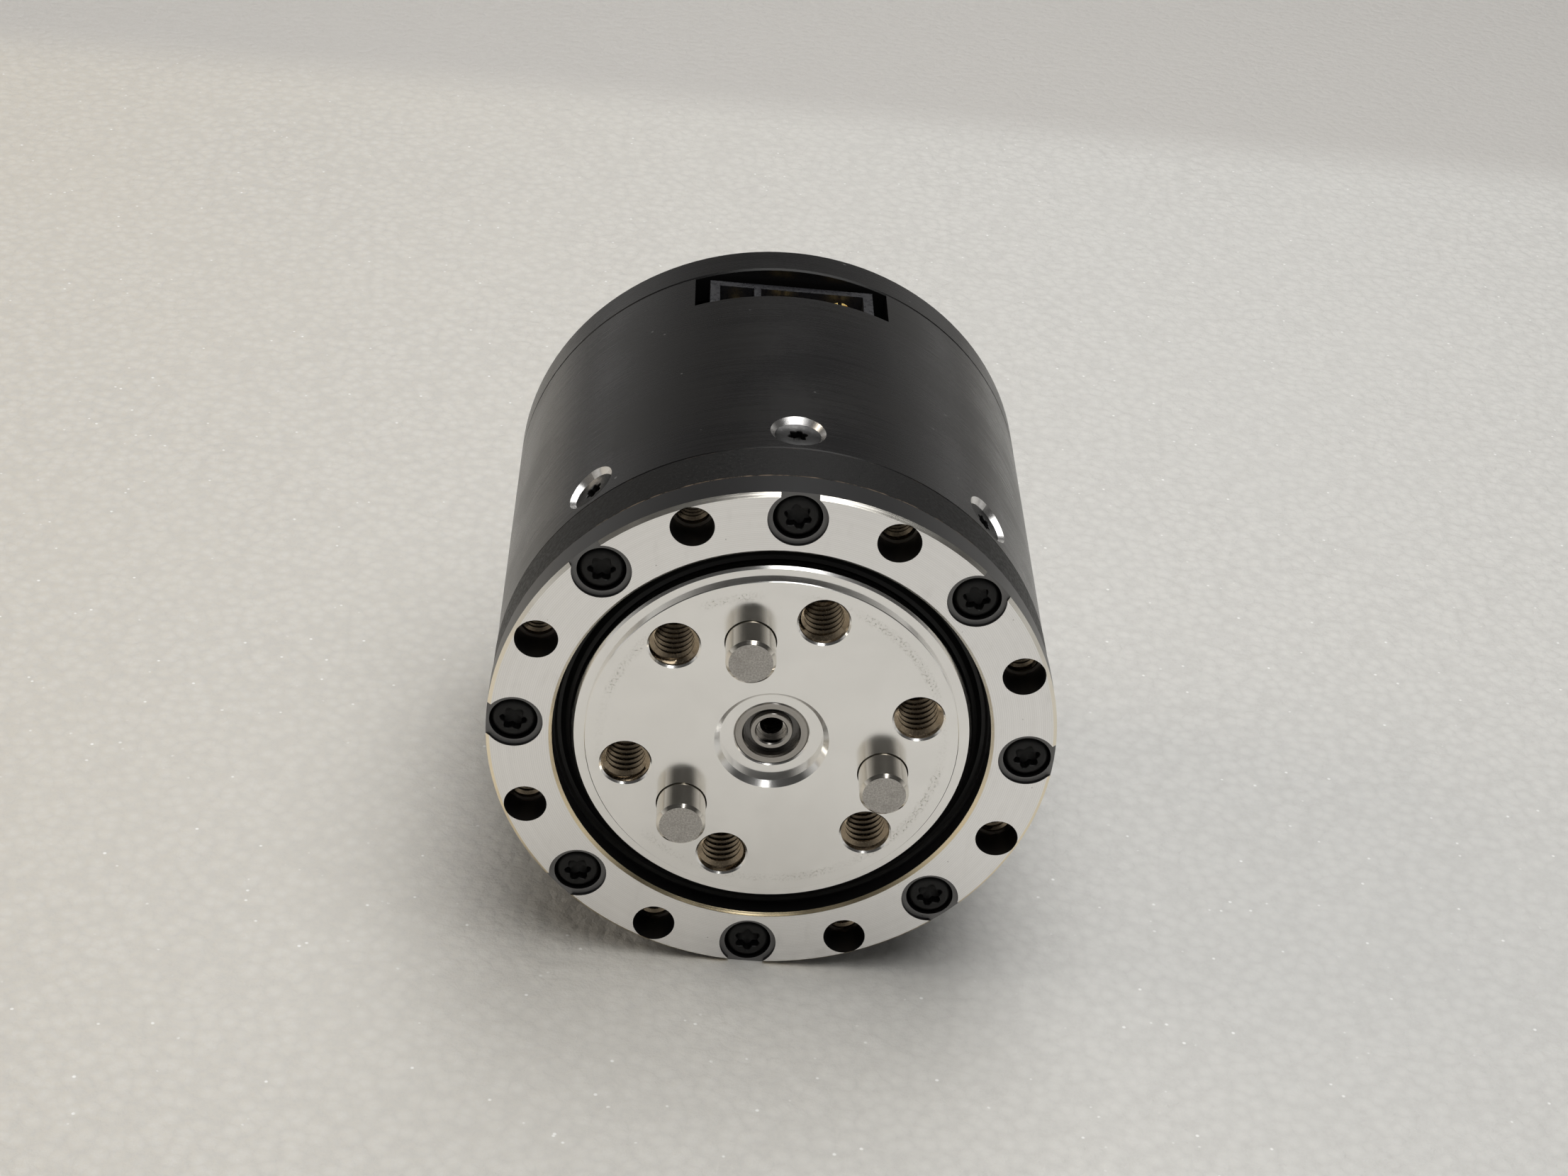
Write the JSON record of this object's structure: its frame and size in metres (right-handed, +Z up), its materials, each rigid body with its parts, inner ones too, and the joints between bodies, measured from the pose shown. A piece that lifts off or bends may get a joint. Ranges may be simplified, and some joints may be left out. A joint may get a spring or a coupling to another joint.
{
  "type": "robot joint actuator",
  "caption": "Cylindrical geared servo for a robot joint: bolted front plate, output flange with dowels and threads, planetary gears, motor and driver board inside, connector at the back.",
  "frame": {"origin": "centre of the front mounting face, on the axis of the output flange", "axes": "+Y runs along the axis to the rear cover, so the output faces -Y; +Z is up, towards the power connector"},
  "size_m": [0.046, 0.0467, 0.046],
  "materials": {
    "black_anodise": "satin black anodise",
    "black_screw": "black oxide",
    "board": "green solder mask",
    "brass": "turned brass",
    "bright_screw": "dark zinc",
    "bush_bronze": "sintered bronze",
    "capacitor": "aluminium can",
    "chip": "moulded package",
    "connector_plastic": "moulded nylon",
    "copper": "enamelled copper wire",
    "electrical_steel": "stacked laminations",
    "faced_anodise": "black anodise, front face turned bright",
    "flange_steel": "ground and polished",
    "gear_case": "black oxide, lightly pitted",
    "gear_steel": "cut and ground teeth",
    "gold_contact": "gold plated",
    "hard_steel": "ground steel",
    "lead_jacket": "wire insulation",
    "magnet": "nickel plated magnet",
    "plain_aluminium": "machined",
    "seal_rubber": "smooth black rubber"
  },
  "bodies": {
    "housing": {"front_plate": "faced_anodise", "ring_gear": "gear_case", "motor_housing": "black_anodise", "rear_cover": "black_anodise", "front_screws": "black_screw", "ring_gear_screws": "black_screw", "rear_cover_screws": "black_screw", "output_seal": "seal_rubber", "output_bearing_outer": "hard_steel", "bearing_plate_front": "plain_aluminium", "bearing_plate_rear": "plain_aluminium", "stator_core": "electrical_steel", "stator_windings": "copper", "phase_leads": "lead_jacket", "driver_board": "board", "encoder_chip": "chip", "controller_chip": "chip", "power_transistors": "chip", "bus_capacitors": "capacitor", "board_screws": "bright_screw", "connector_shell": "connector_plastic", "power_pins": "gold_contact", "signal_pins": "gold_contact", "rotor_bearing_front_outer": "hard_steel", "rotor_bearing_rear_outer": "hard_steel"},
    "output": {"output_flange": "flange_steel", "planet_pins": "hard_steel", "carrier_plate": "gear_steel", "carrier_screws": "bright_screw", "output_bearing_inner": "hard_steel", "retaining_ring": "bright_screw", "centre_bearing_outer": "hard_steel", "centre_bearing_shield": "bright_screw"},
    "rotor": {"rotor_shaft": "hard_steel", "sun_gear": "gear_steel", "rotor_core": "electrical_steel", "rotor_magnets": "magnet", "encoder_magnet": "magnet", "magnet_holder": "brass", "rotor_bearing_front_inner": "hard_steel", "rotor_bearing_rear_inner": "hard_steel", "centre_bearing_inner": "hard_steel"},
    "planet_1": {"planet_gear_1": "gear_steel", "planet_bush_1": "bush_bronze"},
    "planet_2": {"planet_gear_2": "gear_steel", "planet_bush_2": "bush_bronze"},
    "planet_3": {"planet_gear_3": "gear_steel", "planet_bush_3": "bush_bronze"}
  },
  "joints": [
    {"name": "output_spin", "type": "hinge", "parent": "housing", "child": "output", "pos_m": [0, 0, 0], "axis": [0, 1, 0], "continuous": true},
    {"name": "rotor_spin", "type": "hinge", "parent": "housing", "child": "rotor", "pos_m": [0, 0, 0], "axis": [0, 1, 0], "continuous": true},
    {"name": "planet_1_spin", "type": "hinge", "parent": "output", "child": "planet_1", "pos_m": [-0.00256, 0.0108, 0.00925], "axis": [0, 1, 0], "continuous": true},
    {"name": "planet_2_spin", "type": "hinge", "parent": "output", "child": "planet_2", "pos_m": [0.00929, 0.0108, -0.00241], "axis": [0, 1, 0], "continuous": true},
    {"name": "planet_3_spin", "type": "hinge", "parent": "output", "child": "planet_3", "pos_m": [-0.00673, 0.0108, -0.00684], "axis": [0, 1, 0], "continuous": true}
  ],
  "couplings": [
    {"joint": "rotor_spin", "follows": "output_spin", "ratio": 4},
    {"joint": "planet_1_spin", "follows": "output_spin", "ratio": -3},
    {"joint": "planet_2_spin", "follows": "output_spin", "ratio": -3},
    {"joint": "planet_3_spin", "follows": "output_spin", "ratio": -3}
  ]
}
